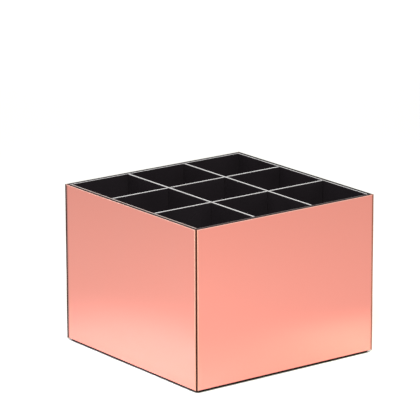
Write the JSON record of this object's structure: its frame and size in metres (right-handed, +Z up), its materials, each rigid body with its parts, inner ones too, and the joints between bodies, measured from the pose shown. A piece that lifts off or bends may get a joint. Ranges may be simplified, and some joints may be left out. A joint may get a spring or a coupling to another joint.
{
  "type": "makeup brush holder",
  "caption": "Square open box with rose-gold mirrored walls and a glossy black lift-out divider grid that stands brushes upright in equal compartments.",
  "frame": {"origin": "centre of the underside of the base pad, on the table", "axes": "+Z up, +X to the right and +Y to the back; the wide face in the picture is the front, facing -Y"},
  "size_m": [0.171, 0.171, 0.127],
  "materials": {
    "rose_gold_mirror": "polished",
    "bonding_tape": "matt",
    "joint_filler": "satin",
    "black_lining": "gloss",
    "black_divider": "gloss",
    "felt_pad": "matt"
  },
  "bodies": {
    "box": {"front_mirror_panel": "rose_gold_mirror", "front_bonding_tape": "bonding_tape", "front_lining_wall": "black_lining", "right_mirror_panel": "rose_gold_mirror", "right_bonding_tape": "bonding_tape", "right_lining_wall": "black_lining", "back_mirror_panel": "rose_gold_mirror", "back_bonding_tape": "bonding_tape", "back_lining_wall": "black_lining", "left_mirror_panel": "rose_gold_mirror", "left_bonding_tape": "bonding_tape", "left_lining_wall": "black_lining", "front_left_corner_filler": "joint_filler", "front_right_corner_filler": "joint_filler", "back_left_corner_filler": "joint_filler", "back_right_corner_filler": "joint_filler", "floor_plate": "black_lining", "base_pad": "felt_pad"},
    "divider_grid": {"cross_divider_1": "black_divider", "cross_divider_2": "black_divider", "deep_divider_1": "black_divider", "deep_divider_2": "black_divider"}
  },
  "joints": [
    {"name": "grid_lift", "type": "slide", "parent": "box", "child": "divider_grid", "axis": [0, 0, 1], "range_m": [0, 0.125]}
  ]
}
